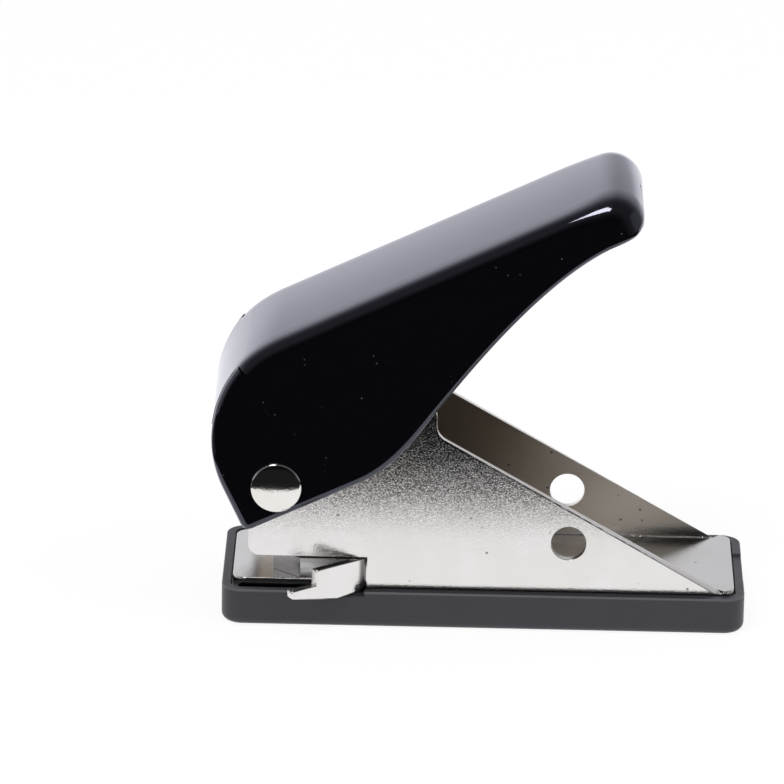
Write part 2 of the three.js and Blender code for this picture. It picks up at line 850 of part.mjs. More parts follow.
function makeStrikeBracket() {
  const [strikeX, strikeY] = strikePlace();
  const top = webHeight - handleSheet - bracketGap;
  const side = outline([
    [-armLobe, 0],
    [0, -armLobe / 2],
    [strikeX, strikeY - strikeLobe / 2],
    [strikeX + strikeLobe, strikeY],
    [frontCentre[0] + flangeLength, top],
    [frontCentre[0], top],
  ]);
  const arms = join(
    solid(acrossPlate(side, -armOuter, armOuter)),
    crossRod([0, 0], -armOuter, armOuter, armLobe * 2),
    crossRod([strikeX, strikeY], -armOuter, armOuter, strikeLobe * 2));
  const between = block([-armLobe - overrun, tipReach], [-armInner, armInner],
    [-cheekDepth * 2, top - armSheet]);
  return cut(arms, between, crossBore([0, 0], pivotBore), crossBore([strikeX, strikeY], strikeBore));
}

function makeStrikePin() {
  return crossRod(strikePlace(), -armOuter, armOuter, strikePin);
}

// Assembly: every piece by name, with the handle's pieces turned up about the pivot

function named(name, body, finish) {
  const geometry = body.isBufferGeometry ? body : geometryOf(body);
  const mesh = new THREE.Mesh(geometry, new THREE.MeshStandardMaterial(finish));
  mesh.name = name;
  return mesh;
}

const punchSet = new THREE.Group();
punchSet.add(
  named('base_tray', makeTray(), darkPlastic),
  named('body_channel', makeChannel(), nickel),
  named('die_plate', makeDie(), toolSteel),
  named('die_rivet_near', makeDieRivet(dieRivetPlaces[0]), brightNickel),
  named('die_rivet_far', makeDieRivet(dieRivetPlaces[1]), brightNickel),
  named('guide_plate', makeGuidePlate(), nickel),
  named('keeper_frame', makeKeeper(), nickel),
  named('punch_pin', makePunch(), toolSteel),
  named('retaining_clip', makeClip(), springSteel),
  named('spring_washer', makeSpringRing(springTop, clipUnder), brightNickel),
  named('spring_seat', makeSpringRing(guideTop, springFoot), brightNickel),
  named('return_spring', makeSpring(), springSteel),
  named('pivot_rivet', makeRivet(), brightNickel),
  named('pivot_sleeve', makeCrossRing(-sleeveEnd, sleeveEnd, pivotBore + sleeveWall * 2), brightNickel),
  named('arm_washer_near', makeCrossRing(-washerOuter, -washerInner, washerWidth), brightNickel),
  named('arm_washer_far', makeCrossRing(washerInner, washerOuter, washerWidth), brightNickel),
);

const handleSet = new THREE.Group();
handleSet.position.set(pivotX, 0, pivotLevel);
handleSet.rotation.y = -restTurn;
handleSet.add(
  named('handle_shell', makeHandle(), blackCoat),
  named('strike_bracket', makeStrikeBracket(), nickel),
  named('strike_pin', makeStrikePin(), toolSteel),
);
punchSet.add(handleSet);

console.log('least gap between curls of the return spring, mm:', springGap().toFixed(3));

export default punchSet;
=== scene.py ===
# Looks of the flight punch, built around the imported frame. Metres, in the frame of the CAD.
import json
import math

import bmesh
import bpy
import numpy as np
from mathutils import Matrix, Vector
from mathutils.bvhtree import BVHTree

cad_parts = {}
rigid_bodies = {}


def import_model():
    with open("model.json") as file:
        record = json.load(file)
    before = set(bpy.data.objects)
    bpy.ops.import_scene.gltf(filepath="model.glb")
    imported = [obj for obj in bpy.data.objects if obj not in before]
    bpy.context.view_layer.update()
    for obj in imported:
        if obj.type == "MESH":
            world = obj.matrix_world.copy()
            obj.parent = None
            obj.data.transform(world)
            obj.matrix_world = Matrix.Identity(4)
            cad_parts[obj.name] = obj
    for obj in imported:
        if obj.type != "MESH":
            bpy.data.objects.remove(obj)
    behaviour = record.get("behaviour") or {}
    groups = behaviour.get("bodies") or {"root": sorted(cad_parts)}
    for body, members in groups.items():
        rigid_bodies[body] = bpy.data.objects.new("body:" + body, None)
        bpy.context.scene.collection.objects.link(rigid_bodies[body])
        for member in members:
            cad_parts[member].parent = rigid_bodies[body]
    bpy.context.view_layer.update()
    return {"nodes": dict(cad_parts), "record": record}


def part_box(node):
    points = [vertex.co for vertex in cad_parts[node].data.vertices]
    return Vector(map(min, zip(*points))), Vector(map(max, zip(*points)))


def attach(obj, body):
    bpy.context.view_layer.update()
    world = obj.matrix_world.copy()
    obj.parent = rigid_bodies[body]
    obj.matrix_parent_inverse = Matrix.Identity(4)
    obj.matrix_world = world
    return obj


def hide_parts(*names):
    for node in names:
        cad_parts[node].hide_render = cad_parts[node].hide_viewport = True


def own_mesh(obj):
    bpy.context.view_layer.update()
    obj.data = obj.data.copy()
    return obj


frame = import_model()
nodes = frame["nodes"]
slot_of = {part["node"]: part["material_slot"] for part in frame["record"]["subparts"]}
# The tray is centred on the origin, so its box's high corner holds its half sizes and its top
tray_half_x, tray_half_y, tray_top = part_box("base_tray")[1]
MM = 0.001

# Pivot and rest turn of the handle
PIVOT_X = -29.65 * MM
PIVOT_Z = 20.95 * MM
REST_TURN = math.radians(25.55)

# Drawn handle in its own frame: u from the pivot towards the tip, y across, n up to the web
SHEET = 1.1 * MM
HALF_WIDTH = 12.7 * MM
BEND = 2.2 * MM
WEB = 20.0 * MM
CROWN = 0.0026 / MM
FRONT_REACH = 7.1 * MM
FRONT_RADIUS = 17.2 * MM
FRONT_CENTRE = np.array((FRONT_RADIUS - FRONT_REACH, WEB - FRONT_RADIUS))
TIP_REACH = 63.8 * MM
TIP_RADIUS = 4.6 * MM
TIP_CENTRE = np.array((TIP_REACH - TIP_RADIUS, WEB - TIP_RADIUS))
TIP_CORNER = 4.2 * MM
TIP_DEPTH = 7.35 * MM
FLARE_REACH = 52.0 * MM
FLARE_BEND = 3.4 * MM
LIP_RADIUS = 2.3 * MM
LIP_HEIGHT = WEB - TIP_DEPTH
CHEEK_DEPTH = 4.5 * MM
CHEEK_CORNER = 1.25 * MM
CHEEK_HEEL = 15.7 * MM
HEEL_RUN = 4.6 * MM
HEEL_RISE = 3.35 * MM
TAIL_RUN = 6.4 * MM
TAIL_SHARES = ((0.29, 0.05), (0.665, 0.53))
TONGUE_HALF = 11.2 * MM
TONGUE_LIFT = 0.07 * MM
RIM_ROUND = 1.0 * MM

# Places round the handle's nose, in degrees from u
WEB_ANGLE = 90
RELIEF_ANGLE = 116
RELIEF_OPENING = 0.45
LIFT_RUN = 3.5
TONGUE_ANGLE = 148

# Steps in the handle's round stretches
TONGUE_STEPS = 14
NOSE_STEPS = 12
FLARE_STEPS = 9
TIP_STEPS = 14
BEND_STEPS = 7
WEB_STEPS = 14
TAIL_STEPS = 24
HEEL_STEPS = 8
CORNER_STEPS = 4
FRONT_STEPS = 24
RIM_STEPS = 5

# Folded channel, the sheared slope of its walls with the burr and its painted shadow, and the root of its
# guide wings with its painted bend shade
WALL_OUTER = 11.5 * MM
WALL_INNER = 10.3 * MM
CHANNEL_FOOT = 4.9 * MM
FOLD_RADIUS = 1.4 * MM
FOLD_TIGHT = 0.9 * MM
FOLD_CENTRE = (WALL_OUTER - FOLD_RADIUS, CHANNEL_FOOT + FOLD_RADIUS)
SLOPE_END = (33.25 * MM, 6.1 * MM)
SLOPE_NORMAL = (0.4896, 0.872)
BURR_SHADOW_START = -7.0 * MM
WING_ROOT = -16.7 * MM
WING_TOP = 10.0 * MM

# Chip tray and return spring
TRAY_CORNER = 3.0 * MM
SPRING_TURNS = 4.5
WIRE_RADIUS = 0.25 * MM
CLOSED_SHARE = 0.09
STEPS_PER_TURN = 40
WIRE_SIDES = 12

# Limits of the mesh work
WELD = 0.001 * MM
ON_ARC = 0.02 * MM
FLAT_ANGLE = math.radians(0.4)
SHARP_ANGLE = math.radians(35)
CREASE_ANGLE = math.radians(40)

# Floor, and how far past the tray its lit patch goes
FLOOR_HALF = 3.0
PATCH_REACH = 53.4 * MM

# Camera, fitted to the photograph
CAMERA_PLACE = (-0.00501, -0.92082, 0.35724)
CAMERA_AZIMUTH = math.radians(0.534)
CAMERA_ELEVATION = math.radians(19.5)
CAMERA_ROLL = math.radians(1.025)
FOCAL_PIXELS = 6838
PHOTO_PIXELS = 784
SENSOR_WIDTH = 36


class Graph:
    """The node tree of a material or world, with short calls for the nodes that the looks share."""

    def __init__(self, owner, coordinates):
        owner.use_nodes = True
        self.nodes = owner.node_tree.nodes
        self.links = owner.node_tree.links
        self.nodes.clear()
        self.place = self.add("TexCoord").outputs[coordinates]

    def put(self, value, socket):
        if isinstance(value, bpy.types.NodeSocket):
            self.links.new(value, socket)
        else:
            socket.default_value = value

    def add(self, kind, inputs=None, **settings):
        """A new node with its settings, and its inputs by name or number."""
        node = self.nodes.new("ShaderNode" + kind)
        for name, value in settings.items():
            setattr(node, name, value)
        for name, value in (inputs or {}).items():
            self.put(value, node.inputs[name])
        return node

    def axis(self, name):
        return self.add("SeparateXYZ", {"Vector": self.place}).outputs[name]

    def stretched(self, scale):
        return self.add("Mapping", {"Vector": self.place, "Scale": scale}).outputs["Vector"]

    def beyond(self, half_x, half_y):
        """Distance in plan from an upright block round the origin, whatever the height."""
        tall = 1.0
        value = self.place
        for operation, others in (("ABSOLUTE", {}), ("SUBTRACT", {1: (half_x, half_y, tall)}),
                                  ("MAXIMUM", {1: (0, 0, 0)})):
            value = self.add("VectorMath", {0: value, **others}, operation=operation).outputs["Vector"]
        return self.add("VectorMath", {0: value}, operation="LENGTH").outputs["Value"]

    def noise(self, scale, detail=2.0, roughness=0.5, place=None):
        return self.add("TexNoise", {"Vector": place or self.place, "Scale": scale, "Detail": detail,
                                     "Roughness": roughness}).outputs["Fac"]

    def cells(self, scale, output="Distance"):
        return self.add("TexVoronoi", {"Vector": self.place, "Scale": scale}).outputs[output]

    def ramp(self, value, low, high, start=0.0, end=1.0):
        """A soft step: start up to the low value and end from the high value on."""
        limits = {"Value": value, "From Min": low, "From Max": high, "To Min": start, "To Max": end}
        return self.add("MapRange", limits, interpolation_type="SMOOTHSTEP").outputs["Result"]

    def spread(self, noise, start, end):
        """A noise's middle values, spread between two others."""
        return self.ramp(noise, 0.3, 0.7, start, end)

    def math(self, operation, first, *others):
        """An operation on one value, or on the first and each of the others in turn."""
        if not others:
            return self.add("Math", {0: first}, operation=operation).outputs["Value"]
        for other in others:
            first = self.add("Math", {0: first, 1: other}, operation=operation).outputs["Value"]
        return first

    def blend(self, factor, first, second):
        """A colour between two others. The node's colours are its inputs 6 and 7 and its output 2."""
        return self.add("Mix", {"Factor": factor, 6: first, 7: second}, data_type="RGBA").outputs[2]

    def bump(self, height, distance, strength=1.0, **more):
        inputs = {"Height": height, "Distance": distance, "Strength": strength, **more}
        return self.add("Bump", inputs).outputs["Normal"]

    def by_ray(self, other, gloss, seen):
        """One look for what the camera sees, one for gloss and one for all other rays."""
        path = self.add("LightPath")
        lit = self.add("MixShader", {0: path.outputs["Is Glossy Ray"], 1: other, 2: gloss}).outputs[0]
        return self.add("MixShader", {0: path.outputs["Is Camera Ray"], 1: lit, 2: seen}).outputs[0]


class Finish(Graph):
    """A material with one principled surface."""

    def __init__(self, name):
        self.material = bpy.data.materials.new(name)
        super().__init__(self.material, "Object")

    def surfaced(self, inputs):
        surface = self.add("BsdfPrincipled", inputs)
        self.add("OutputMaterial", {"Surface": surface.outputs["BSDF"]})
        return self.material


# Finishes, one for each material slot of the record

def black_coat():
    """Thick black stove enamel: a clear gloss with a faint ripple and a little dust. Its normals lean
    a little, as on a drawn face that isn't quite flat."""
    graph = Finish("black_coat")
    lean = graph.math("ADD", graph.math("MULTIPLY", graph.axis("X"), 0.038),
                      graph.math("MULTIPLY", graph.axis("Z"), -0.079))
    ripple = graph.bump(graph.noise(420, 2), 0.012 * MM, 0.7)
    normal = graph.bump(lean, 1.0, Normal=ripple)
    dust = graph.ramp(graph.cells(900), 0.05, 0.1, 1.0, 0.0)
    patches = graph.ramp(graph.noise(260, 3), 0.55, 0.62)
    specks = graph.math("MULTIPLY", dust, patches)
    return graph.surfaced({
        "Base Color": graph.blend(specks, (0.0025, 0.0025, 0.0032, 1), (0.16, 0.16, 0.17, 1)),
        "Roughness": graph.spread(graph.noise(700, 3), 0.07, 0.12),
        "IOR": 1.5,
        "Specular Tint": (0.7, 0.7, 1, 1),
        "Coat Weight": 1.0,
        "Coat Roughness": 0.04,
        "Coat IOR": 1.5,
        "Coat Tint": (0.9, 0.9, 1, 1),
        "Normal": normal,
        "Coat Normal": normal,
    })


def plate(graph, colour, grain):
    """Nickel plate: the grain of the sheet, its tone in soft clouds, and a few dark pits."""
    fine = graph.noise(grain, 1.5)
    cloud = graph.ramp(graph.noise(120, 3, 0.55), 0.35, 0.65)
    warmer = [part * shade for part, shade in zip(colour, (0.97, 0.96, 0.94))]
    tone = graph.blend(cloud, (*colour, 1), (*warmer, 1))
    pits = graph.ramp(graph.cells(520), 0.07, 0.13, 1.0, 0.0)
    rare = graph.ramp(graph.noise(260, 2), 0.53, 0.57)
    return fine, tone, graph.math("MULTIPLY", pits, rare, 0.7)


def plated(graph, dark, tone, roughness, bump):
    return graph.surfaced({
        "Base Color": graph.blend(dark, tone, (0.05, 0.045, 0.04, 1)),
        "Metallic": 1.0,
        "Roughness": roughness,
        "Normal": bump,
    })


def slope_burr_shadow(graph, x, up):
    """Where the sheared slope of a wall has its burr: a ragged dark line just inside the edge, the burr
    with a painted shadow under it.
    """
    run = graph.math("SUBTRACT", x, SLOPE_END[0])
    rise = graph.math("SUBTRACT", up, SLOPE_END[1])
    inset = graph.math("ADD", graph.math("MULTIPLY", run, SLOPE_NORMAL[0]),
                       graph.math("MULTIPLY", rise, SLOPE_NORMAL[1]))
    return graph.math("MULTIPLY",
                      graph.ramp(inset, -0.34 * MM, -0.26 * MM),
                      graph.ramp(inset, -0.08 * MM, -0.12 * MM),
                      graph.ramp(graph.noise(900, 2), 0.42, 0.5),
                      graph.ramp(x, BURR_SHADOW_START, BURR_SHADOW_START + 0.6 * MM))


def wing_bend_shade(graph, x, up):
    """Painted shade in the concave bend where a guide wing leaves its wall: an upright dark line along
    the bend.
    """
    return graph.math("MULTIPLY",
                      graph.ramp(x, WING_ROOT - 1.2 * MM, WING_ROOT - 0.6 * MM),
                      graph.ramp(x, WING_ROOT + 0.02 * MM, WING_ROOT - 0.04 * MM),
                      graph.ramp(up, WING_TOP + 0.2 * MM, WING_TOP - 0.2 * MM))


def satin_nickel():
    """Nickel plate over rolled sheet with a crisp grain. The folded channel has soft warm inner faces
    with painted shade, darker towards the closed end under the handle, a grit that fades downward, a
    burred slope with a painted shadow under its burr, and a painted shade line in the bend where each
    wing leaves its wall."""
    grain = 6200
    graph = Finish("satin_nickel")
    fine, tone, dark = plate(graph, (0.83, 0.81, 0.785), grain)
    x, up = graph.axis("X"), graph.axis("Z")
    out = graph.math("ABSOLUTE", graph.axis("Y"))
    outside = graph.ramp(out, WALL_OUTER - 0.25 * MM, WALL_OUTER - 0.1 * MM)
    grit = graph.math("MULTIPLY", graph.ramp(graph.cells(8500, "Color"), 0.3, 0.6),
                      graph.ramp(up, 13.0 * MM, 22.5 * MM), 0.85)
    # Painted shadow under the burr: a ragged dark line along the sheared slope
    burr_shadow = graph.math("MULTIPLY", slope_burr_shadow(graph, x, up), 0.97)
    # Painted shade in the concave bend at each wing's root
    bend_shade = graph.math("MULTIPLY", wing_bend_shade(graph, x, up), 0.8)
    # Grit, with the painted burr shadow and painted bend shade, on the outer faces only
    marks_and_painted_light = graph.math("MULTIPLY", graph.math("MAXIMUM", grit, burr_shadow, bend_shade), outside)
    inner = graph.math("MULTIPLY", graph.ramp(out, WALL_INNER + 0.6 * MM, WALL_INNER + 0.1 * MM),
                       graph.ramp(up, FOLD_CENTRE[1] + 0.3 * MM, FOLD_CENTRE[1] + 2.2 * MM))
    # Painted shade on the inner faces: darker towards the closed end under the handle, lighter towards
    # the open end
    shade_fades_to_open_end = graph.ramp(graph.math("SUBTRACT", x, up), -24.0 * MM, 12.0 * MM)
    inner_shaded_tone = graph.blend(shade_fades_to_open_end, (0.46, 0.40, 0.33, 1), (0.97, 0.91, 0.83, 1))
    relief = graph.math("SUBTRACT", 1.0, graph.math("MULTIPLY", inner, 0.7))
    return plated(graph,
                  graph.math("MAXIMUM", dark, marks_and_painted_light),
                  graph.blend(inner, tone, inner_shaded_tone),
                  graph.math("ADD", graph.spread(fine, 0.10, 0.16), graph.math("MULTIPLY", inner, 0.3)),
                  graph.bump(graph.math("MULTIPLY", fine, relief), 0.11 / grain))


def bright_nickel():
    """Smooth nickel plate over turned and stamped pieces."""
    grain = 3000
    graph = Finish("bright_nickel")
    fine, tone, dark = plate(graph, (0.86, 0.84, 0.79), grain)
    return plated(graph, dark, tone, graph.spread(fine, 0.06, 0.09), graph.bump(fine, 0.02 / grain))


def steel(graph, pattern, darker, lighter, roughness, bump):
    return graph.surfaced({
        "Base Color": graph.blend(pattern, (*darker, 1), (*lighter, 1)),
        "Metallic": 1.0,
        "Roughness": graph.spread(pattern, *roughness),
        "Normal": graph.bump(pattern, *bump),
    })


def tool_steel():
    """Ground and hardened steel, with fine rings of the grinding wheel."""
    graph = Finish("tool_steel")
    rings = graph.noise(2600, 2, place=graph.stretched((0.15, 0.15, 1)))
    return steel(graph, rings, (0.42, 0.41, 0.40), (0.55, 0.54, 0.53), (0.2, 0.34), (0.008 * MM, 0.6))


def spring_steel():
    """Drawn wire with the dull skin of its heat treatment."""
    graph = Finish("spring_steel")
    grain = graph.noise(3200, 3)
    return steel(graph, grain, (0.34, 0.33, 0.32), (0.5, 0.49, 0.47), (0.24, 0.36), (0.006 * MM, 0.5))


def tray_plastic():
    """Dark grey moulded plastic with a fine spark-eroded skin, and a painted highlight: a paler line
    round its top edge.
    """
    graph = Finish("tray_plastic")
    eroded = graph.noise(2400, 3, 0.6)
    past = graph.beyond(tray_half_x - TRAY_CORNER, tray_half_y - TRAY_CORNER)
    # Painted highlight: a thin paler line round the tray's top outer edge
    marks_and_painted_light = graph.math("MULTIPLY",
                      graph.ramp(past, TRAY_CORNER - 0.2 * MM, TRAY_CORNER - 0.08 * MM),
                      graph.ramp(graph.axis("Z"), tray_top - 0.4 * MM, tray_top - 0.2 * MM))
    tone = graph.blend(graph.noise(90, 2), (0.030, 0.030, 0.036, 1), (0.040, 0.040, 0.047, 1))
    return graph.surfaced({
        "Base Color": graph.blend(marks_and_painted_light, tone, (0.105, 0.105, 0.115, 1)),
        "Roughness": graph.spread(eroded, 0.34, 0.46),
        "IOR": 1.49,
        "Normal": graph.bump(eroded, 0.02 * MM, 0.55),
    })


finishes = {make.__name__: make() for make in (black_coat, satin_nickel, bright_nickel, tool_steel,
                                               spring_steel, tray_plastic)}


# Pieces that stand for a CAD node

def mesh_from(work, name):
    mesh = bpy.data.meshes.new(name)
    work.to_mesh(mesh)
    work.free()
    return mesh


def placed(mesh, replaced):
    """A piece named as its mesh that stands for a CAD node, with the node's finish and body."""
    finish = slot_of[replaced]
    body = nodes[replaced].parent.name.removeprefix("body:")
    piece = bpy.data.objects.new(mesh.name, mesh)
    bpy.context.scene.collection.objects.link(piece)
    mesh.materials.append(finishes[finish])
    for face in mesh.polygons:
        face.use_smooth = True
    modifier = piece.modifiers.new("faces_keep_flat", "WEIGHTED_NORMAL")
    modifier.mode = "FACE_AREA"
    modifier.keep_sharp = True
    modifier.weight = 60
    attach(piece, body)
    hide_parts(replaced)
    return piece


def rounded(work, edges, radius, segments):
    bmesh.ops.bevel(work, geom=edges, offset=radius, offset_type="OFFSET", segments=segments,
                    profile=0.5, affect="EDGES", clamp_overlap=False)


def softened(node_name, piece_name, radius, segments=2, reshape=None):
    """A copy of a CAD node with its sharp edges rounded. Points that the rounding throws far off, at
    short edges, go back to the nearest place on the node."""
    work = bmesh.new()
    work.from_mesh(nodes[node_name].data)
    bmesh.ops.remove_doubles(work, verts=work.verts, dist=WELD)
    if reshape:
        reshape(work)
    bmesh.ops.dissolve_limit(work, angle_limit=FLAT_ANGLE, verts=work.verts, edges=work.edges)
    edges = [edge for edge in work.edges
             if len(edge.link_faces) == 2 and edge.calc_face_angle() > SHARP_ANGLE]
    before = BVHTree.FromBMesh(work)
    rounded(work, edges, radius, segments)
    for vert in work.verts:
        nearest, _, _, distance = before.find_nearest(vert.co)
        if distance > radius / 2:
            vert.co = nearest
    bmesh.ops.dissolve_degenerate(work, dist=WELD, edges=work.edges)
    placed(mesh_from(work, piece_name), node_name)


def tighter_fold(work):
    """Draws the fold between the floor and each wall out to the smaller radius of the real sheet."""
    share = FOLD_TIGHT / FOLD_RADIUS
    shift = FOLD_RADIUS - FOLD_TIGHT
    for vert in work.verts:
        out = abs(vert.co.y) - FOLD_CENTRE[0]
        drop = FOLD_CENTRE[1] - vert.co.z
        if min(out, drop) > -WELD and abs(math.hypot(out, drop) - FOLD_RADIUS) < ON_ARC:
            vert.co.y = math.copysign(FOLD_CENTRE[0] + shift + out * share, vert.co.y)
            vert.co.z = FOLD_CENTRE[1] - shift - drop * share


def spring_mesh():
    """The CAD's coil with a rounder wire and ends that lie flat."""
    low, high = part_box("return_spring")
    radius = (high.x - low.x) / 2 - WIRE_RADIUS
    foot = Vector(((low.x + high.x) / 2, 0, low.z + WIRE_RADIUS))
    height = high.z - low.z - 2 * WIRE_RADIUS
    up = Vector((0, 0, 1))
    work = bmesh.new()
    rings = []
    for share in np.linspace(0, 1, int(STEPS_PER_TURN * SPRING_TURNS) + 1):
        angle = share * SPRING_TURNS * 2 * math.pi
        out = Vector((math.cos(angle), math.sin(angle), 0))
        climbed = min(max((share - CLOSED_SHARE) / (1 - 2 * CLOSED_SHARE), 0), 1)
        middle = foot + out * radius + up * (height * climbed)
        rings.append([work.verts.new(middle + (out * math.cos(turn) + up * math.sin(turn)) * WIRE_RADIUS)
                      for turn in np.linspace(0, 2 * math.pi, WIRE_SIDES, endpoint=False)])
    for here, following in zip(rings, rings[1:]):
        for i in range(WIRE_SIDES):
            j = (i + 1) % WIRE_SIDES
            work.faces.new((here[i], here[j], following[j], following[i]))
    work.faces.new(rings[0])
    work.faces.new(rings[-1][::-1])
    bmesh.ops.recalc_face_normals(work, faces=work.faces)
    return mesh_from(work, "spring_wound")


# Handle: the drawn sheet as two offset skins with rounded rims

def in_frame(u, y, n):
    """A point of the handle's own frame, in the frame of the whole punch."""
    cos, sin = math.cos(REST_TURN), math.sin(REST_TURN)
    return Vector((PIVOT_X + u * cos - n * sin, y, PIVOT_Z + u * sin + n * cos))


def direction(degrees):
    angle = math.radians(degrees)
    return np.array((math.cos(angle), math.sin(angle)))


def arc(centre, radius, start, end, steps):
    return [centre + radius * direction(degrees) for degrees in np.linspace(start, end, steps + 1)]


def curve(handles, steps):
    """Points after the first one on the Bezier curve of the given handles."""
    points = []
    for share in np.linspace(0, 1, steps + 1)[1:]:
        row = handles
        while len(row) > 1:
            row = [here + (following - here) * share for here, following in zip(row, row[1:])]
        points += row
    return points


def eased(share):
    share = min(max(share, 0), 1)
    return share * share * (3 - 2 * share)


def past_web(out):
    """Degrees round the nose from the web's own direction."""
    return math.degrees(math.atan2(-out[0], out[1]))


def crown(out):
    """Rise of the web's middle over its sides, which ends where the tongue begins."""
    return CROWN * (1 - eased(past_web(out) / (RELIEF_ANGLE - WEB_ANGLE)))


def lip_level(u):
    """Level of the tip's lower lip, which curls up at its end."""
    run = max(u - (TIP_REACH - LIP_RADIUS), 0)
    return LIP_HEIGHT + LIP_RADIUS - math.sqrt(max(LIP_RADIUS ** 2 - run ** 2, 0))


def nose_row(inset, degrees):
    out = direction(degrees)
    return FRONT_CENTRE + (FRONT_RADIUS - inset) * out, out, BEND - inset


def shell_rows(inset):
    """Rows of one skin: the tongue's, then the drawn part's. Each has its place on the middle line, the
    direction out of the sheet there, and the radius of the bend to the cheek."""
    bend = BEND - inset
    flared = FLARE_BEND - inset
    end = TIP_CORNER - inset
    tongue = [nose_row(inset, degrees)
              for degrees in np.linspace(TONGUE_ANGLE, RELIEF_ANGLE, TONGUE_STEPS + 1)[:-1]]
    drawn = [nose_row(inset, degrees) for degrees in np.linspace(RELIEF_ANGLE, WEB_ANGLE, NOSE_STEPS + 1)]
    for share in np.linspace(0, 1, FLARE_STEPS + 1)[:-1]:
        place = (FLARE_REACH + (TIP_CENTRE[0] - FLARE_REACH) * share, WEB - inset)
        drawn.append((place, (0.0, 1.0), bend + (flared - bend) * share ** 2))
    for share in np.linspace(0, 1, TIP_STEPS + 1):
        out = direction(WEB_ANGLE * (1 - share))
        drawn.append((TIP_CENTRE + (TIP_RADIUS - inset) * out, out, flared + (end - flared) * share))
    drawn.append(((TIP_REACH - inset, None), (1.0, 0.0), end))
    return tongue, drawn


def columns(inset):
    """Each column's share of the half width, and its angle round the bend from the web to the cheek."""
    side = math.asin((TONGUE_HALF - (HALF_WIDTH - BEND)) / (BEND - inset))
    angles = [*np.linspace(math.pi / 2, side, BEND_STEPS + 1), 0.0]
    middle = [(share, 0.0) for share in np.linspace(-1, 1, WEB_STEPS + 1)[1:-1]]
    return [(-1, angle) for angle in angles] + middle + [(1, angle) for angle in reversed(angles)]


def cheek_edge():
    """The free edge of a cheek, from the tip round its heel and its front corner to the relief."""
    tail = np.array((TIP_REACH - TAIL_RUN, LIP_HEIGHT))
    rise = np.array((CHEEK_HEEL + HEEL_RUN + HEEL_RISE / 2, HEEL_RISE - CHEEK_DEPTH))
    handles = [tail + (rise - tail) * share for share in TAIL_SHARES]
    heel = np.array((CHEEK_HEEL, -CHEEK_DEPTH))
    corner = np.array((CHEEK_CORNER - FRONT_REACH, CHEEK_CORNER - CHEEK_DEPTH))
    relief = RELIEF_ANGLE + RELIEF_OPENING
    return [tail,
            *curve([tail, *handles, rise], TAIL_STEPS),
            *curve([rise, heel, heel - (HEEL_RUN, 0)], HEEL_STEPS),
            *arc(corner, CHEEK_CORNER, -90, -180, CORNER_STEPS),
            *arc(FRONT_CENTRE, FRONT_RADIUS, 180, relief, FRONT_STEPS),
            FRONT_CENTRE + (FRONT_RADIUS - BEND) * direction(relief)]


def skin(inset):
    """Points and faces of one skin of the sheet, and the points of its rolled rim. Both skins have the
    same faces."""
    tongue, drawn = shell_rows(inset)
    rows = tongue + drawn
    sides = columns(inset)
    points, faces, index = [], [], {}
    for row, (place, out, bend) in enumerate(rows):
        for column, (side, angle) in enumerate(sides):
            in_tongue = row < len(tongue)
            if in_tongue and not BEND_STEPS <= column < len(sides) - BEND_STEPS:
                continue
            y = side * (HALF_WIDTH - inset - bend * (1 - math.sin(angle)))
            depth = bend * (1 - math.cos(angle)) + crown(out) * y * y
            if in_tongue:
                lift = eased((past_web(out) - RELIEF_ANGLE + WEB_ANGLE) / LIFT_RUN)
                depth = depth * (1 - lift) - TONGUE_LIFT * lift * (y / TONGUE_HALF) ** 4
            u = place[0] - out[0] * depth
            n = lip_level(u) if place[1] is None else place[1] - out[1] * depth
            index[row, column] = len(points)
            points.append((u, y, n))
    for row in range(len(rows) - 1):
        for column in range(len(sides) - 1):
            corners = [(row, column), (row, column + 1), (row + 1, column + 1), (row + 1, column)]
            if all(corner in index for corner in corners):
                faces.append([index[corner] for corner in corners])
    rolled = {index[len(rows) - 1, column] for column in range(len(sides))}
    for side, column in ((-1, 0), (1, len(sides) - 1)):
        top = [index[row, column] for row in range(len(tongue), len(rows))]
        first = len(points)
        points += [(u, side * (HALF_WIDTH - inset), n) for u, n in cheek_edge()]
        ring = top + list(range(first, len(points)))
        faces.append(ring if side < 0 else ring[::-1])
        rolled.update(range(first, len(points) - 1))
    return points, faces, rolled


def handle_mesh():
    """The sheet with the rim of its outer skin rolled round, as blanking leaves it."""
    outer, faces, rolled = skin(0)
    inner = skin(SHEET)[0]
    work = bmesh.new()
    verts = [work.verts.new(in_frame(*point)) for point in outer + inner]
    shift = len(outer)
    used = set()
    for face in faces:
        work.faces.new([verts[i] for i in face])
        work.faces.new([verts[i + shift] for i in reversed(face)])
        used.update(zip(face, face[1:] + face[:1]))
    rims = [(a, b) for a, b in used if (b, a) not in used]
    for a, b in rims:
        work.faces.new((verts[b], verts[a], verts[a + shift], verts[b + shift]))
    bmesh.ops.recalc_face_normals(work, faces=work.faces)
    edges = [work.edges.get((verts[a], verts[b])) for a, b in rims if a in rolled and b in rolled]
    rounded(work, edges, RIM_ROUND, RIM_STEPS)
    bmesh.ops.recalc_face_normals(work, faces=work.faces)
    for edge in work.edges:
        edge.smooth = len(edge.link_faces) == 2 and edge.calc_face_angle() < CREASE_ANGLE
    return mesh_from(work, "handle_coated")


# Floor, world, lamps and camera

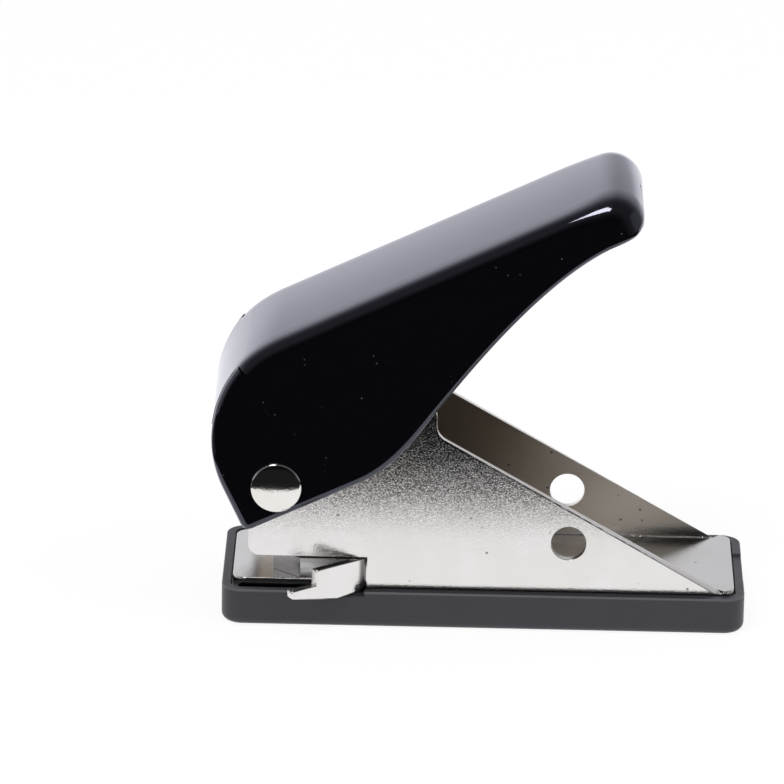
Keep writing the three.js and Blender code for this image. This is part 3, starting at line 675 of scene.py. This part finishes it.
def make_floor():
    """Pale card: seen straight it is white with a soft shadow, and gloss sees its lit patch alone."""
    material = bpy.data.materials.new("studio_floor")
    graph = Graph(material, "Object")
    x, y = graph.axis("X"), graph.axis("Y")
    near = graph.ramp(graph.beyond(tray_half_x, tray_half_y), PATCH_REACH, PATCH_REACH + 2.4 * MM,
                      1.0, 0.012)
    backdrop = graph.ramp(y, 0.01, 0.06)
    aside = graph.math("MULTIPLY", graph.ramp(x, -0.095, -0.115), graph.ramp(y, -0.09, -0.05), 0.15)
    lit = graph.math("MAXIMUM", near, backdrop, aside)
    card = graph.add("BsdfDiffuse", {"Color": (0.86, 0.86, 0.86, 1)}).outputs[0]
    glow = graph.add("Emission", {"Strength": 1.05}).outputs[0]
    patch = graph.add("Emission", {"Color": (0.965, 0.97, 1.0, 1), "Strength": lit}).outputs[0]
    seen = graph.add("MixShader", {0: 0.85, 1: card, 2: glow}).outputs[0]
    graph.add("OutputMaterial", {"Surface": graph.by_ray(card, patch, seen)})

    mesh = bpy.data.meshes.new("studio_floor")
    corners = [(-FLOOR_HALF, -FLOOR_HALF, 0), (FLOOR_HALF, -FLOOR_HALF, 0),
               (FLOOR_HALF, FLOOR_HALF, 0), (-FLOOR_HALF, FLOOR_HALF, 0)]
    mesh.from_pydata(corners, [], [(0, 1, 2, 3)])
    mesh.materials.append(material)
    floor = bpy.data.objects.new("studio_floor", mesh)
    bpy.context.scene.collection.objects.link(floor)


def make_world():
    """White backdrop that darkens overhead, as gloss sees it, and an even soft light on the colours."""
    world = bpy.data.worlds.new("studio")
    bpy.context.scene.world = world
    graph = Graph(world, "Generated")
    x, y, z = (graph.axis(name) for name in "XYZ")
    behind = graph.math("MULTIPLY", graph.ramp(y, -0.15, 0.85, 0.18, 0.98),
                        graph.ramp(z, 0.0, 0.25, 1.0, 0.9))
    before = graph.ramp(y, -0.95, -0.5, 0.02, 1.0)
    gap = graph.math("MULTIPLY", graph.ramp(x, -0.2, 0.1, 0.0, 0.28), graph.ramp(z, 0.02, 0.2))
    backdrop = graph.math("MULTIPLY", behind, before, graph.math("SUBTRACT", 1.0, gap))
    left = graph.ramp(x, -0.8, -0.93, 0.0, 0.6)
    right = graph.ramp(x, 0.8, 0.93, 0.0, 0.35)
    tone = graph.math("MAXIMUM", backdrop, left, right)
    even = graph.add("Background", {"Color": (0.96, 0.98, 1.0, 1), "Strength": 0.62}).outputs[0]
    mirrored = graph.add("Background", {"Color": (0.93, 0.94, 1.0, 1), "Strength": tone}).outputs[0]
    seen = graph.add("Background").outputs[0]
    graph.add("OutputWorld", {"Surface": graph.by_ray(even, mirrored, seen)})


def make_lamp(name, place, target, width, height, power, in_gloss):
    data = bpy.data.lights.new(name, "AREA")
    data.shape = "RECTANGLE"
    data.size = width
    data.size_y = height
    data.energy = power
    data.color = (1.0, 0.99, 0.97)
    lamp = bpy.data.objects.new(name, data)
    bpy.context.scene.collection.objects.link(lamp)
    lamp.location = place
    lamp.rotation_euler = (Vector(target) - Vector(place)).to_track_quat("-Z", "Y").to_euler()
    lamp.visible_glossy = in_gloss


def make_camera():
    """The photograph's own view, from its fitted place and turn."""
    level = math.cos(CAMERA_ELEVATION)
    right = Vector((math.cos(CAMERA_AZIMUTH), math.sin(CAMERA_AZIMUTH), 0))
    ahead = Vector((-right.y * level, right.x * level, -math.sin(CAMERA_ELEVATION)))
    above = right.cross(ahead)
    x_axis = right * math.cos(CAMERA_ROLL) + above * math.sin(CAMERA_ROLL)
    y_axis = above * math.cos(CAMERA_ROLL) - right * math.sin(CAMERA_ROLL)
    data = bpy.data.cameras.new("camera")
    data.sensor_width = SENSOR_WIDTH
    data.lens = FOCAL_PIXELS / PHOTO_PIXELS * SENSOR_WIDTH
    data.clip_start = 0.05
    data.clip_end = 20
    camera = bpy.data.objects.new("camera", data)
    bpy.context.scene.collection.objects.link(camera)
    turn = Matrix((x_axis, y_axis, -ahead)).transposed().to_4x4()
    camera.matrix_world = Matrix.Translation(CAMERA_PLACE) @ turn
    bpy.context.scene.camera = camera


for name, node in nodes.items():
    for material_slot in node.material_slots:
        material_slot.material = finishes[slot_of[name]]

placed(handle_mesh(), "handle_shell")
softened("body_channel", "channel_plated", 0.09 * MM, reshape=tighter_fold)
softened("base_tray", "tray_moulded", 0.16 * MM, 3)
softened("pivot_rivet", "rivet_plated", 0.14 * MM, 3)
softened("die_plate", "die_ground", 0.08 * MM)
softened("guide_plate", "guide_ground", 0.08 * MM)

spring = placed(spring_mesh(), "return_spring")
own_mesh(spring)

make_floor()
make_world()
make_camera()
make_lamp("key", place=(-0.21, -0.40, 0.80), target=(0.02, 0, 0.05), width=0.28, height=0.2,
          power=2.2, in_gloss=True)
make_lamp("fill", place=(0.5, -0.2, 0.5), target=(0, 0, 0.02), width=0.4, height=0.4,
          power=0.9, in_gloss=False)
bpy.context.scene.view_settings.view_transform = "Standard"
